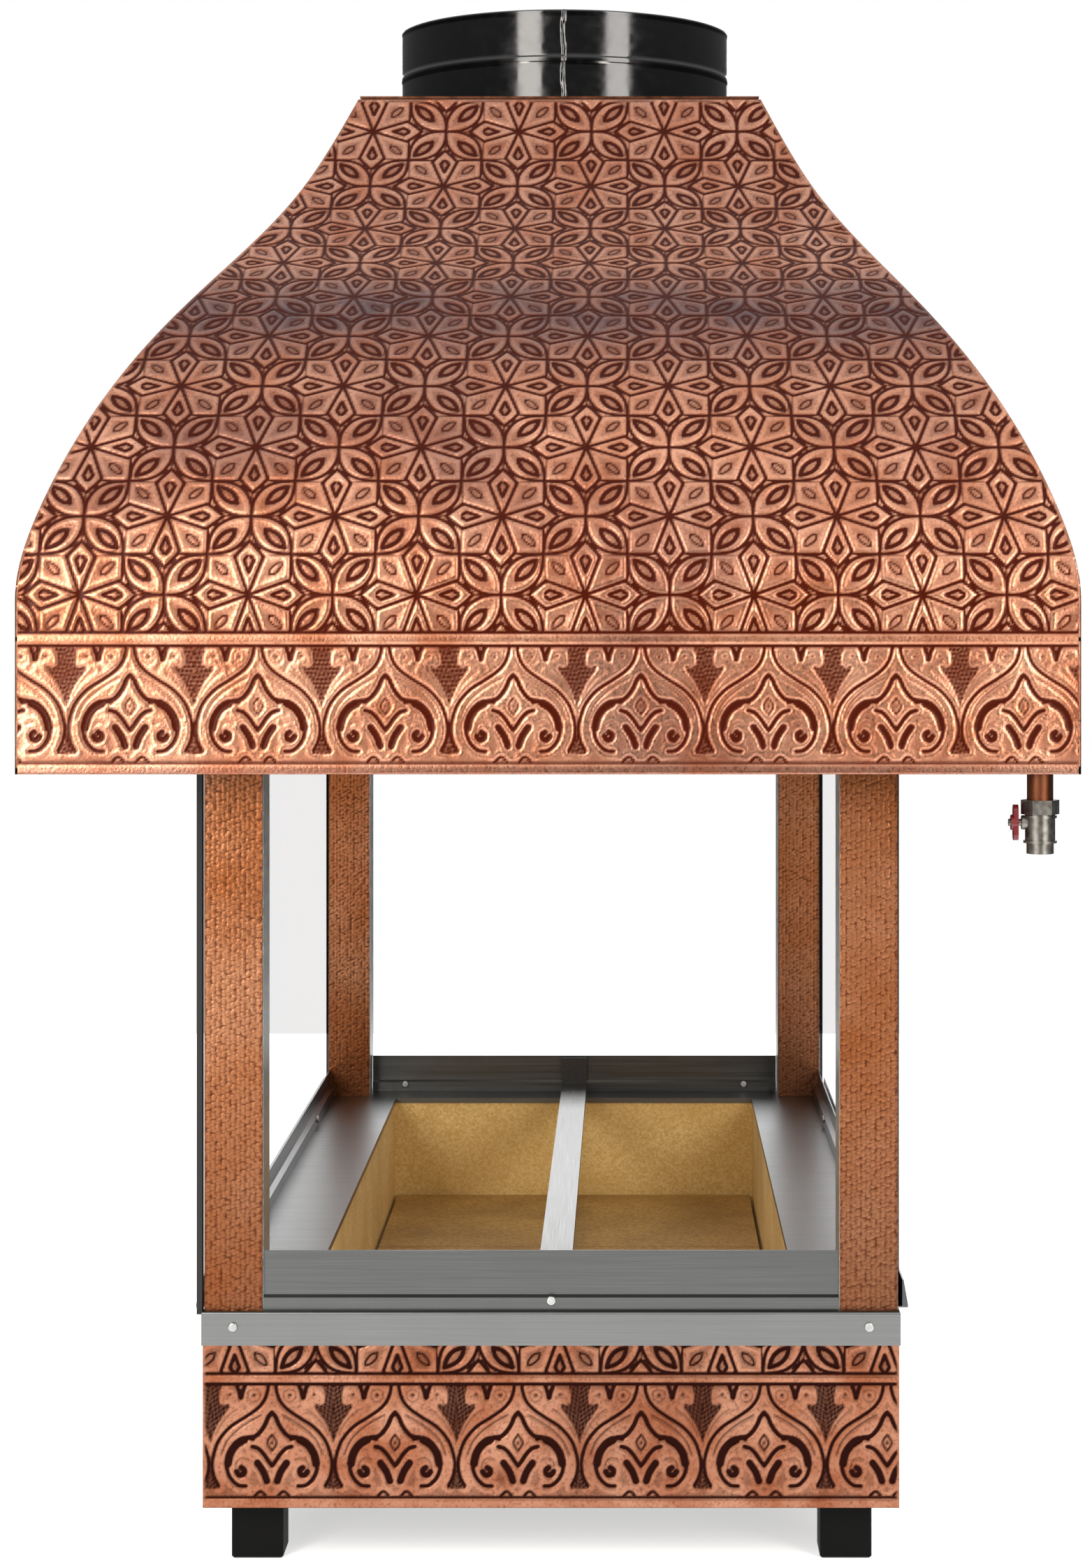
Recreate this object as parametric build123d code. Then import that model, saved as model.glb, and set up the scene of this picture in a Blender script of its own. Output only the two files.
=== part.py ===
from build123d import *
import os

# Copper-clad charcoal grill with a hood: a long hearth box on four feet, four posts with glass
# between them on the long sides, and a formed hood with a round flue collar and a drained gutter.
# Millimetres, +Z up, origin on the floor under the middle, the cook's short end faces -Y.

# ---- overall sizes ----
baseWidth = 600.0           # over the copper, X
baseLength = 1200.0         # over the copper, Y
hoodSideOverhang = 142.5    # hood past the base, X
hoodEndOverhang = 100.0     # hood past the base, Y
footHeight = 50.0
hearthHeight = 219.0        # cooking shelf above the floor
hoodBottom = 688.0
skirtTop = 832.0            # where the vertical skirt turns into the curve
hoodTop = 1317.0
collarTop = 1417.0

# ---- sheet and clearances ----
copperSheet = 1.2
steelSheet = 1.5
rimSheet = 1.2
looseFit = 0.3              # a piece that lifts out
runningFit = 0.05           # radial, for a turning stem

# ---- base ----
footSize = 45.0
footInset = 22.0            # foot's outer side behind the copper
footRound = 3.0
footBoltRadius = 4.0
footBoltDepth = 28.0
boltClearance = 0.2
boltHead = 6.5
boltHeadHeight = 5.3
angleLeg = 25.0
angleThickness = 3.0
footGusset = 72.0
postGusset = 48.0
rimDepth = 29.0             # hearth edge folded down over the copper
copperLap = 8.0             # copper hidden behind that fold
rimScrewInset = 26.0
rimScrewDrop = 13.0
sideShelf = 84.0            # hearth beside the fire pit
endShelf = 75.0
openingFold = 6.0
boardThickness = 20.0
boardReveal = 1.0           # hearth edge in front of the boards
panClearance = 0.5
tileThickness = 20.0
fireFloor = 102.0           # top of the floor tiles
tileLength = 300.0
tileJoint = 2.0
tileEdgeGap = 4.0
dividerWidth = 30.0
dividerHeight = 9.0
dividerTabHeight = 41.0
dividerSheet = 2.0

# ---- posts ----
postSize = 50.0
postWall = 2.0
postCladding = 0.8
postInset = 5.0             # cladding's front face behind the base's end
claddingLap = 30.0          # cladding that runs up inside the hood
postTop = 760.0
postPlate = 5.0
postBoltRadius = 5.0
postBoltHead = 8.5

# ---- aprons ----
frontApronHeight = 51.0
rearApronHeight = 43.0
sideApronHeight = 31.0
apronLip = 11.0
apronStep = 4.0
rearApronInset = 22.0       # inner face of the rear apron's lip, in from the base's end
apronGap = 0.5
apronScrewInset = 40.0
sideApronStep = 5.0

# ---- glass ----
paneThickness = 4.0
paneGap = 0.5
paneTop = 745.0
railDrop = 29.0
railLip = 23.0
railFlare = 5.0
railWebDrop = 4.0
railInset = 34.0
railWebGap = 0.5
railScrewRise = 9.0
rightPaneSetback = 68.0
sealDepth = 10.0
sealLip = 0.9
clipWidth = 30.0
clipFromPost = 70.0
clipThickness = 3.0
clipHold = 20.0

# ---- hood ----
hoodSheet = 2.0             # measured level, so thinner across the slopes
bearerLeg = 40.0
bearerThickness = 4.0
gutterBottom = 700.0
gutterWidth = 40.0
gutterWall = 25.0
gutterLip = 14.0
topSideMargin = 21.0        # top plate past the collar, X
topEndMargin = 88.0
sideHollows = [(13.5, 70.0), (55.6, 168.0), (142.7, 303.0), (201.9, 392.0)]
sideTopSlope = 0.5
endHollows = [(38.0, 100.0), (123.0, 206.0), (283.0, 315.0), (384.0, 393.0)]
endTopSlope = 0.42
topPlate = 2.0
collarRadius = 172.0
collarWall = 2.0
beadHeight = 1368.0
beadRadius = 2.6
collarFlange = 14.0

# ---- drain ----
drainInsetX = 30.5          # drain's axis in from the skirt
drainInsetY = 28.0
pipeRadius = 11.0
pipeWall = 1.5
pipeSocket = 8.0
inletBore = 7.0
valveTop = 665.0
valveBottom = 620.0
hexAcross = 28.0
hexHeight = 12.0
bodyRadius = 12.6
outletRadius = 11.4
outletHeight = 9.0
ringRise = 1.4
threadRadius = 9.3
threadLength = 11.0
ballRadius = 8.4
ballBore = 5.0
chamberRadius = 9.0
ballHeight = 646.0
seatHeight = 3.2
keySize = 2.0
stemRadius = 3.0
stemLength = 11.0           # beyond the valve's neck
neckRadius = 6.0
neckLength = 3.0
leverGap = 3.0
leverHub = 6.5
leverWidth = 12.0
leverThickness = 4.0
leverLength = 30.0

# ---- fasteners ----
screwRadius = 2.0
screwHead = 4.2
screwHeadHeight = 2.4
screwLength = 8.0
rivetRadius = 2.4
rivetHeight = 1.6
rivetCount = 12

# ---- sizes that follow ----
halfWidth = baseWidth / 2
halfLength = baseLength / 2
frameX = halfWidth - copperSheet
frameY = halfLength - copperSheet
floorTop = footHeight + rimSheet
hearthUnder = hearthHeight - steelSheet
rimX = halfWidth + rimSheet
rimY = halfLength + rimSheet
copperTop = hearthHeight - rimDepth + copperLap
footX = halfWidth - footInset - footSize / 2
footY = halfLength - footInset - footSize / 2
hoodWidth = baseWidth + 2 * hoodSideOverhang
hoodLength = baseLength + 2 * hoodEndOverhang
topWidth = 2 * (collarRadius + topSideMargin)
topLength = 2 * (collarRadius + topEndMargin)
drainX = hoodWidth / 2 - drainInsetX
drainY = drainInsetY - hoodLength / 2
openX = halfWidth - sideShelf
openY = halfLength - endShelf
apronRear = halfLength - rearApronInset
boardX = openX + boardReveal
boardY = openY + boardReveal
panX = boardX + boardThickness + panClearance
panY = boardY + boardThickness + panClearance
panFloor = fireFloor - tileThickness
claddingX = halfWidth - paneGap
tubeX = claddingX - postCladding
postX = tubeX - postSize / 2
claddingY = halfLength - postInset
tubeY = claddingY - postCladding
postY = tubeY - postSize / 2
postInner = tubeX - postSize
apronX = postInner - apronGap
paneX = rimX + looseFit
skirtX = hoodWidth / 2 - hoodSheet
skirtY = hoodLength / 2 - hoodSheet
parts = {}


def block(low, high):
    size = [high[i] - low[i] for i in range(3)]
    centre = [(high[i] + low[i]) / 2 for i in range(3)]
    return Pos(*centre) * Box(*size)


def frameRing(x, y, width, bottom, top):
    outer = block((-x, -y, bottom), (x, y, top))
    inner = block((width - x, width - y, bottom - 1), (x - width, y - width, top + 1))
    return outer - inner


def rod(radius, start, direction, length):
    place = Plane(origin=start, z_dir=direction)
    return place * Cylinder(radius, length, align=(Align.CENTER, Align.CENTER, Align.MIN))


def flipX(shape):
    return mirror(shape, about=Plane.YZ)


def flipY(shape):
    return mirror(shape, about=Plane.XZ)


def corners(shape):
    # the four copies of a piece modelled at front left
    right = flipX(shape)
    return {
        "front_left": shape,
        "front_right": right,
        "rear_left": flipY(shape),
        "rear_right": flipY(right),
    }


def group(pieces):
    return Compound(children=list(pieces))


def panHead(point, direction):
    # screw with a domed head, its shank going into the sheet behind it
    inward = Vector(*direction) * -1
    head = rod(screwHead, point, direction, screwHeadHeight)
    rim = head.edges().filter_by(GeomType.CIRCLE).sort_by(Axis(point, direction))[-1]
    return fillet(rim, screwHeadHeight * 0.7) + rod(screwRadius, point, inward, screwLength)


def screwHoles(points, direction):
    # clearance holes for pan heads at these points
    inward = Vector(*direction) * -1
    holes = []
    for point in points:
        start = Vector(*point) + Vector(*direction)
        holes.append(rod(screwRadius, start, inward, screwLength + 2))
    return holes


# ---- base ----
def makeFeet():
    low = (-footX - footSize / 2, -footY - footSize / 2, 0)
    foot = block(low, (low[0] + footSize, low[1] + footSize, footHeight))
    foot = fillet(foot.edges().filter_by(Axis.Z), footRound)
    foot = chamfer(foot.faces().sort_by(Axis.Z)[0].edges(), footRound / 2)
    hole = rod(footBoltRadius + boltClearance, (-footX, -footY, footHeight), (0, 0, -1), footBoltDepth + 2)
    for corner, shape in corners(foot - hole).items():
        parts["foot_" + corner] = shape
    seat = floorTop + angleThickness
    tip = footHeight - footBoltDepth
    bolt = rod(footBoltRadius, (-footX, -footY, tip), (0, 0, 1), seat - tip)
    head = Pos(-footX, -footY, seat) * extrude(RegularPolygon(boltHead, 6), boltHeadHeight)
    parts["foot_bolts"] = group(corners(bolt + head).values())


def cornerHoles(radius, x, y, bottom, top):
    hole = rod(radius + boltClearance, (-x, -y, bottom - 1), (0, 0, 1), top - bottom + 2)
    return list(corners(hole).values())


def footHoles(bottom, top):
    return cornerHoles(footBoltRadius, footX, footY, bottom, top)


def postHoles(bottom, top):
    return cornerHoles(postBoltRadius, postX, postY, bottom, top)


def makeBaseShell():
    sheet = block((-frameX, -frameY, footHeight), (frameX, frameY, floorTop))
    parts["base_floor"] = sheet - footHoles(footHeight, floorTop)
    front = block((-halfWidth, -halfLength, footHeight), (halfWidth, -frameY, copperTop))
    parts["base_panel_front"] = front
    parts["base_panel_rear"] = flipY(front)
    left = block((-halfWidth, -frameY, footHeight), (-frameX, frameY, copperTop))
    parts["base_panel_left"] = left
    parts["base_panel_right"] = flipX(left)


def makeBaseFrame():
    bottomFlat = frameRing(frameX, frameY, angleLeg, floorTop, floorTop + angleThickness)
    bottomWall = frameRing(frameX, frameY, angleThickness, floorTop, floorTop + angleLeg)
    topFlat = frameRing(frameX, frameY, angleLeg, hearthUnder - angleThickness, hearthUnder)
    topWall = frameRing(frameX, frameY, angleThickness, hearthUnder - angleLeg, hearthUnder)
    rings = bottomFlat + bottomWall + topFlat + topWall
    cornerAngle = block((-frameX, -frameY, floorTop), (angleLeg - frameX, angleLeg - frameY, hearthUnder))
    inside = (angleThickness - frameX, angleThickness - frameY, floorTop - 1)
    cornerAngle -= block(inside, (0, 0, hearthUnder + 1))
    footPlate = block(
        (-frameX, -frameY, floorTop),
        (footGusset - frameX, footGusset - frameY, floorTop + angleThickness),
    )
    postPad = block(
        (-frameX, -frameY, hearthUnder - angleThickness),
        (postGusset - frameX, postGusset - frameY, hearthUnder),
    )
    for shape in corners(cornerAngle + footPlate + postPad).values():
        rings += shape
    rings -= footHoles(floorTop, floorTop + angleThickness)
    parts["base_frame"] = rings - postHoles(hearthUnder - angleThickness, hearthUnder)


def rimScrewPoints():
    # (point, direction) for the screws through the folded edge of the hearth
    screwX = halfWidth - rimScrewInset
    height = hearthHeight - rimScrewDrop
    places = []
    for side in (-1, 1):
        for x in (-screwX, screwX):
            places.append(((x, side * rimY, height), (0, side, 0)))
    return places


def makeHearth():
    top = block((-rimX, -rimY, hearthHeight - rimDepth), (rimX, rimY, hearthHeight))
    top = fillet(top.faces().sort_by(Axis.Z)[-1].edges(), steelSheet * 1.4)
    top -= block((-halfWidth, -halfLength, 0), (halfWidth, halfLength, hearthUnder))
    mouth = block((-openX, -openY, 0), (openX, openY, hearthHeight + 1))
    fold = frameRing(openX + rimSheet, openY + rimSheet, rimSheet, hearthHeight - openingFold, hearthHeight)
    top = top - mouth + (fold - mouth)
    for point, direction in rimScrewPoints():
        top -= screwHoles([point], direction)
    parts["hearth_top"] = top - postHoles(hearthUnder, hearthHeight)
    for name in ("base_panel_front", "base_panel_rear", "base_frame"):
        for point, direction in rimScrewPoints():
            parts[name] -= screwHoles([point], direction)
    parts["hearth_screws"] = group(panHead(point, way) for point, way in rimScrewPoints())


def makeFirePit():
    wallX = panX + steelSheet
    wallY = panY + steelSheet
    outer = block((-wallX, -wallY, panFloor - steelSheet), (wallX, wallY, hearthUnder))
    parts["firebox_pan"] = outer - block((-panX, -panY, panFloor), (panX, panY, hearthUnder + 1))
    boardTop = hearthHeight - openingFold
    outerY = boardY + boardThickness
    front = block((-boardX, -outerY, panFloor), (boardX, -boardY, boardTop))
    parts["fireboard_front"] = front
    parts["fireboard_rear"] = flipY(front)
    left = block((-boardX - boardThickness, -outerY, panFloor), (-boardX, outerY, boardTop))
    parts["fireboard_left"] = left
    parts["fireboard_right"] = flipX(left)
    tiles = []
    rear = boardY - tileEdgeGap
    innerX = boardX - tileEdgeGap
    while rear > -boardY + tileEdgeGap + 1:
        front = max(rear - tileLength, -boardY + tileEdgeGap)
        for low, high in ((-innerX, -tileJoint / 2), (tileJoint / 2, innerX)):
            tiles.append(block((low, front + tileJoint, panFloor), (high, rear, fireFloor)))
        rear -= tileLength
    parts["floor_tiles"] = group(tiles)


def makeDivider():
    half = dividerWidth / 2
    end = apronRear - looseFit
    bottom = hearthHeight + looseFit
    top = hearthHeight + dividerHeight
    bar = block((-half, -end, bottom), (half, end, top))
    bar -= block((dividerSheet - half, -end - 1, 0), (half - dividerSheet, end + 1, top - dividerSheet))
    tab = block((-half, -end, bottom), (half, dividerSheet - end, hearthHeight + dividerTabHeight))
    parts["divider_bar"] = bar + tab + flipY(tab)


# ---- posts ----
def makePosts():
    low = (-tubeX, -tubeY)
    high = (-postInner, postSize - tubeY)
    tube = block((low[0], low[1], hearthHeight), (high[0], high[1], postTop))
    hollow = block(
        (low[0] + postWall, low[1] + postWall, hearthHeight + postPlate),
        (high[0] - postWall, high[1] - postWall, postTop + 1),
    )
    tube -= hollow
    boltHole = rod(postBoltRadius, (-postX, -postY, hearthHeight - 1), (0, 0, 1), postPlate + 2)
    skinTop = hoodBottom + claddingLap
    skin = block((-claddingX, -claddingY, hearthHeight), (high[0], high[1] + postCladding, skinTop))
    skin -= block((low[0], low[1], 0), (high[0] + 1, high[1], postTop))
    headTop = hearthUnder - angleThickness
    shank = rod(postBoltRadius, (-postX, -postY, headTop), (0, 0, 1), hearthHeight + postPlate - headTop)
    hexagon = RegularPolygon(postBoltHead, 6)
    head = Pos(-postX, -postY, headTop - boltHeadHeight) * extrude(hexagon, boltHeadHeight)
    for corner, shape in corners(tube - boltHole).items():
        parts["post_tube_" + corner] = shape
    for corner, shape in corners(skin).items():
        parts["post_cladding_" + corner] = shape
    parts["post_bolts"] = group(corners(shank + head).values())


# ---- aprons ----
def apronProfile(height, step, face, way):
    # (across, up) outline of a folded sheet: a straight web, stepped out over its bottom lip
    low = hearthHeight
    bend = low + apronLip
    inner = face + way * step
    back = way * steelSheet
    return [
        (face, low),
        (face, bend),
        (inner, bend + step / 2),
        (inner, low + height),
        (inner + back, low + height),
        (inner + back, bend + step / 2),
        (face + back, bend - step / 4),
        (face + back, low),
    ]


def extrudeAlongX(points, halfSpan):
    outline = make_face(Polyline(*[(0, y, z) for y, z in points], close=True))
    return extrude(outline, amount=halfSpan, dir=(1, 0, 0), both=True)


def extrudeAlongY(points, halfSpan):
    outline = make_face(Polyline(*[(x, 0, z) for x, z in points], close=True))
    return extrude(outline, amount=halfSpan, dir=(0, 1, 0), both=True)


def makeAprons():
    front = extrudeAlongX(apronProfile(frontApronHeight, apronStep, -claddingY, 1), apronX)
    rear = extrudeAlongX(apronProfile(rearApronHeight, apronStep, apronRear, 1), apronX)
    sideFace = tubeX - sideApronStep - steelSheet
    sideSpan = tubeY - postSize - postCladding - apronGap
    right = extrudeAlongY(apronProfile(sideApronHeight, sideApronStep, sideFace, 1), sideSpan)
    screwHeight = hearthHeight + apronLip * 0.75
    frontPoint = (0, -claddingY, screwHeight)
    rearScrewX = apronX - apronScrewInset
    rearPoints = [(x, apronRear, screwHeight) for x in (-rearScrewX, rearScrewX)]
    rightPoints = [(sideFace, y, screwHeight) for y in (-sideSpan * 0.6, sideSpan * 0.6)]
    parts["apron_front"] = front - screwHoles([frontPoint], (0, -1, 0))
    parts["apron_rear"] = rear - screwHoles(rearPoints, (0, -1, 0))
    parts["apron_right"] = right - screwHoles(rightPoints, (-1, 0, 0))
    parts["apron_left"] = flipX(parts["apron_right"])
    screws = [panHead(point, (0, -1, 0)) for point in [frontPoint] + rearPoints]
    rightScrews = [panHead(point, (-1, 0, 0)) for point in rightPoints]
    parts["apron_screws"] = group(screws + rightScrews + [flipX(screw) for screw in rightScrews])


# ---- glass ----
def makeGlass():
    webTop = hearthHeight - railWebDrop
    outer = paneX + paneThickness + paneGap
    profile = [
        (rimX, hearthHeight - railDrop),
        (rimX, webTop),
        (outer, webTop),
        (outer, webTop + railLip),
        (outer + rimSheet, webTop + railLip),
        (outer + railFlare, webTop + rimSheet),
        (outer + railFlare, webTop - rimSheet),
        (rimX + rimSheet, webTop - rimSheet),
        (rimX + rimSheet, hearthHeight - railDrop),
    ]
    rail = extrudeAlongY(profile, claddingY - railInset)
    railScrews = []
    for share in (-0.8, -0.27, 0.27, 0.8):
        railScrews.append((rimX + rimSheet, share * claddingY, hearthHeight - railDrop + railScrewRise))
    parts["glass_rail_right"] = rail - screwHoles(railScrews, (1, 0, 0))
    parts["glass_rail_left"] = flipX(parts["glass_rail_right"])
    for side in ("left", "right"):
        direction = -1 if side == "left" else 1
        holes = [(direction * x, y, z) for x, y, z in railScrews]
        for name in ("hearth_top", "base_frame", "base_panel_" + side):
            parts[name] -= screwHoles(holes, (direction, 0, 0))
    screws = [panHead(point, (1, 0, 0)) for point in railScrews]
    parts["glass_rail_screws"] = group(screws + [flipX(screw) for screw in screws])

    paneBottom = webTop + railWebGap
    rearEnd = claddingY - sealLip
    for side, setback in (("left", 0), ("right", rightPaneSetback)):
        frontEnd = -rearEnd + setback
        pane = block((paneX, frontEnd, paneBottom), (paneX + paneThickness, rearEnd, paneTop))
        edge = block(
            (paneX - looseFit, frontEnd - sealLip, paneBottom),
            (paneX + paneThickness + sealLip / 2, frontEnd + sealDepth, paneTop),
        )
        rear = block(
            (paneX - looseFit, rearEnd - sealDepth, paneBottom),
            (paneX + paneThickness + sealLip / 2, rearEnd + sealLip, paneTop),
        )
        seals = [edge - pane, rear - pane]
        if side == "left":
            pane = flipX(pane)
            seals = [flipX(seal) for seal in seals]
        parts["glass_" + side] = pane
        parts["glass_seals_" + side] = group(seals)

    bearerEdge = postX + bearerLeg / 2
    clipTop = paneTop + clipThickness
    tabX = bearerEdge - bearerThickness
    clips = []
    clipY = postY - clipFromPost
    for y in (-clipY, clipY):
        near = y - clipWidth / 2
        far = y + clipWidth / 2
        tab = block((tabX, near, paneTop), (bearerEdge, far, postTop))
        plate = block((tabX, near, paneTop), (outer + rimSheet, far, clipTop))
        leaf = block((outer, near, paneTop - clipHold), (outer + rimSheet, far, clipTop))
        clips.append(tab + plate + leaf)
    parts["glass_clips"] = group(clips + [flipX(clip) for clip in clips])


# ---- hood ----
def hoodOutline(half, hollows, topHalf, topSlope, inset):
    # closed outline of one view of the hood: a straight skirt, then a curve that swells and hollows.
    # hollows are points of that curve, as the distance in from the skirt and the height above it.
    bottom = hoodBottom - (0 if inset == 0 else 1)
    curve = [(half, skirtTop)]
    curve += [(half - inward, skirtTop + rise) for inward, rise in hollows]
    curve += [(topHalf, hoodTop)]
    right = [(across - inset, up) for across, up in curve]
    start = (right[0][0], bottom)
    end = right[-1]
    rise = Line(start, right[0])
    swell = Spline(*right, tangents=[(0, 1), (-topSlope, 1)])
    lid = Line(end, (-end[0], end[1]))
    foot = Line((-start[0], bottom), start)
    return make_face([rise, swell, lid, flipX(swell), flipX(rise), foot])


def sideOutline(inset):
    return hoodOutline(hoodWidth / 2, sideHollows, topWidth / 2, sideTopSlope, inset)


def frontOutline(inset):
    return hoodOutline(hoodLength / 2, endHollows, topLength / 2, endTopSlope, inset)


def alongY(outline, reach):
    return extrude(Plane.XZ * outline, amount=reach, both=True)


def alongX(outline, reach):
    return extrude(Plane.YZ * outline, amount=reach, both=True)


def makeHoodSheets():
    wide = alongY(sideOutline(0), hoodLength)
    wideInner = alongY(sideOutline(hoodSheet), hoodLength)
    deep = alongX(frontOutline(0), hoodWidth)
    deepInner = alongX(frontOutline(hoodSheet), hoodWidth)
    nearHalf = block((-hoodWidth, -hoodLength, 0), (hoodWidth, 0, hoodTop + 1))
    leftHalf = block((-hoodWidth, -hoodLength, 0), (0, hoodLength, hoodTop + 1))
    endSheets = (deep - deepInner) & wide
    sideSheets = (wide - wideInner) & deepInner
    ceiling = block((-hoodWidth, -hoodLength, hoodBottom), (hoodWidth, hoodLength, hoodTop - topPlate))
    endSheets = endSheets & ceiling
    sideSheets = sideSheets & ceiling
    parts["hood_front"] = endSheets & nearHalf
    parts["hood_rear"] = flipY(parts["hood_front"])
    parts["hood_left"] = sideSheets & leftHalf
    parts["hood_right"] = flipX(parts["hood_left"])


def makeHoodFrame():
    top = postTop + bearerThickness
    wallTop = postTop + bearerLeg
    crossNear = -postY - bearerLeg / 2
    cross = block((-skirtX, crossNear, postTop), (skirtX, crossNear + bearerLeg, top))
    cross += block((-skirtX, crossNear, postTop), (skirtX, crossNear + bearerThickness, wallTop))
    sideNear = -postX - bearerLeg / 2
    side = block((sideNear, -skirtY, postTop), (sideNear + bearerLeg, skirtY, top))
    side += block((sideNear, -skirtY, postTop), (sideNear + bearerThickness, skirtY, wallTop))
    parts["hood_frame"] = cross + flipY(cross) + side + flipX(side)


def makeGutter():
    floor = frameRing(skirtX, skirtY, gutterWidth, gutterBottom, gutterBottom + steelSheet)
    wall = frameRing(skirtX, skirtY, steelSheet, gutterBottom, gutterBottom + gutterWall)
    innerX = skirtX - gutterWidth + steelSheet
    innerY = skirtY - gutterWidth + steelSheet
    lip = frameRing(innerX, innerY, steelSheet, gutterBottom, gutterBottom + gutterLip)
    hole = rod(pipeRadius, (drainX, drainY, gutterBottom - 1), (0, 0, 1), steelSheet + 2)
    parts["hood_gutter"] = floor + wall + lip - hole


def makeFlue():
    plateX = topWidth / 2
    plateY = topLength / 2
    plate = block((-plateX, -plateY, hoodTop - topPlate), (plateX, plateY, hoodTop))
    parts["hood_top_plate"] = plate - rod(collarRadius - collarWall, (0, 0, 0), (0, 0, 1), collarTop)
    tube = rod(collarRadius, (0, 0, hoodTop), (0, 0, 1), collarTop - hoodTop)
    bead = Pos(0, 0, beadHeight) * Torus(collarRadius - 0.4, beadRadius)
    flange = rod(collarRadius + collarFlange, (0, 0, hoodTop), (0, 0, 1), collarWall)
    bore = rod(collarRadius - collarWall, (0, 0, hoodTop - 1), (0, 0, 1), collarTop)
    parts["flue_collar"] = tube + bead + flange - bore
    circle = collarRadius + collarFlange / 2
    rivets = []
    for place in PolarLocations(circle, rivetCount):
        seat = place.position + Vector(0, 0, hoodTop + collarWall)
        rivets.append(rod(rivetRadius, seat, (0, 0, 1), rivetHeight))
    parts["flue_rivets"] = group(rivets)


# ---- drain ----
def upright(radius, bottom, top):
    # cylinder on the drain's own axis
    return rod(radius, (drainX, drainY, bottom), (0, 0, 1), top - bottom)


def sideways(radius, near, far):
    # cylinder along the stem's axis, between two distances from the drain's axis
    return rod(radius, (drainX - near, drainY, ballHeight), (-1, 0, 0), far - near)


def makeDrain():
    socket = valveTop - pipeSocket
    inside = pipeRadius - pipeWall
    pipeTop = gutterBottom + steelSheet
    parts["drain_pipe"] = upright(pipeRadius, socket, pipeTop) - upright(inside, socket - 1, pipeTop + 1)

    hexBottom = valveTop - hexHeight
    hexagon = RegularPolygon(hexAcross / 2, 6, major_radius=False)
    body = Pos(drainX, drainY, hexBottom) * extrude(hexagon, hexHeight)
    body += upright(bodyRadius, valveBottom + outletHeight, hexBottom)
    body += upright(outletRadius, valveBottom, valveBottom + outletHeight)
    for height in (hexBottom - 3, valveBottom + outletHeight):
        body += upright(bodyRadius + ringRise, height, height + 2)
    body += sideways(neckRadius, bodyRadius / 2, bodyRadius + neckLength)
    body -= upright(pipeRadius + runningFit, socket, valveTop + 1)
    body -= upright(inletBore, ballHeight, valveTop)
    body -= upright(threadRadius, valveBottom - 1, valveBottom + threadLength)
    body -= upright(chamberRadius, valveBottom, ballHeight + ballRadius)
    body -= sideways(stemRadius + runningFit, 0, bodyRadius + neckLength + 1)
    parts["valve_body"] = body

    way = upright(ballBore, valveBottom, valveTop)
    relief = Pos(drainX, drainY, ballHeight) * Sphere(ballRadius + looseFit)
    seatInner = ballRadius - seatHeight
    lower = upright(chamberRadius, ballHeight - ballRadius, ballHeight - seatInner)
    upper = upright(chamberRadius, ballHeight + seatInner, ballHeight + ballRadius)
    parts["valve_seats"] = group([lower - relief - way, upper - relief - way])

    slot = Pos(drainX - ballRadius, drainY, ballHeight)
    ball = Pos(drainX, drainY, ballHeight) * Sphere(ballRadius) - way
    slotSize = keySize + 2 * runningFit
    parts["valve_ball"] = ball - slot * Box(2 * keySize, slotSize, 2 * ballRadius)
    stem = sideways(stemRadius, ballRadius, bodyRadius + neckLength + stemLength)
    key = Pos(keySize / 2, 0, 0) * slot * Box(keySize, keySize, 2 * stemRadius)
    parts["valve_stem"] = stem + key

    leverFoot = bodyRadius + neckLength + leverGap
    hub = sideways(leverHub, leverFoot, leverFoot + leverThickness + 2)
    near = drainX - leverFoot
    grip = block(
        (near - leverThickness, drainY - leverWidth / 2, ballHeight - leverLength / 2),
        (near, drainY + leverWidth / 2, ballHeight + leverLength / 2),
    )
    grip = fillet(grip.edges().filter_by(Axis.X), leverWidth * 0.45)
    parts["valve_lever"] = grip + hub - sideways(stemRadius, leverFoot - 1, leverFoot + stemLength)


makeFeet()
makeBaseShell()
makeBaseFrame()
makeHearth()
makeFirePit()
makeDivider()
makePosts()
makeAprons()
makeGlass()
makeHoodSheets()
makeHoodFrame()
makeGutter()
makeFlue()
makeDrain()

os.makedirs("parts", exist_ok=True)
for name, shape in parts.items():
    export_step(shape, "parts/" + name + ".step")
print(len(parts), "nodes written")
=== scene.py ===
import math

import bpy
import numpy as np
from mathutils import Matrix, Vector


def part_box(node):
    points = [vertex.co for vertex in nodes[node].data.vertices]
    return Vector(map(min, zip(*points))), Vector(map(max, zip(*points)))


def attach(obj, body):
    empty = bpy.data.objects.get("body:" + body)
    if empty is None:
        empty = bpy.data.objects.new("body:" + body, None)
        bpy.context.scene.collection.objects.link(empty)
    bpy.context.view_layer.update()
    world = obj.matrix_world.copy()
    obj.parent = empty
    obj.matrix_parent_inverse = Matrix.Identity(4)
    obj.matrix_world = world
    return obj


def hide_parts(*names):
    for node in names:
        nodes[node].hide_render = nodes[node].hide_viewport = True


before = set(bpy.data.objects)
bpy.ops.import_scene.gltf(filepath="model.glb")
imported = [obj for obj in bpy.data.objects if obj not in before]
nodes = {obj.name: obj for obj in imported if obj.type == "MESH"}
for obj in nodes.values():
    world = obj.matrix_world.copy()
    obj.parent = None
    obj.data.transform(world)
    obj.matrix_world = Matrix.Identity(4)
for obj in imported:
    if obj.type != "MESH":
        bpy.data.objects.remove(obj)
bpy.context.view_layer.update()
mm = 0.001


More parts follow.
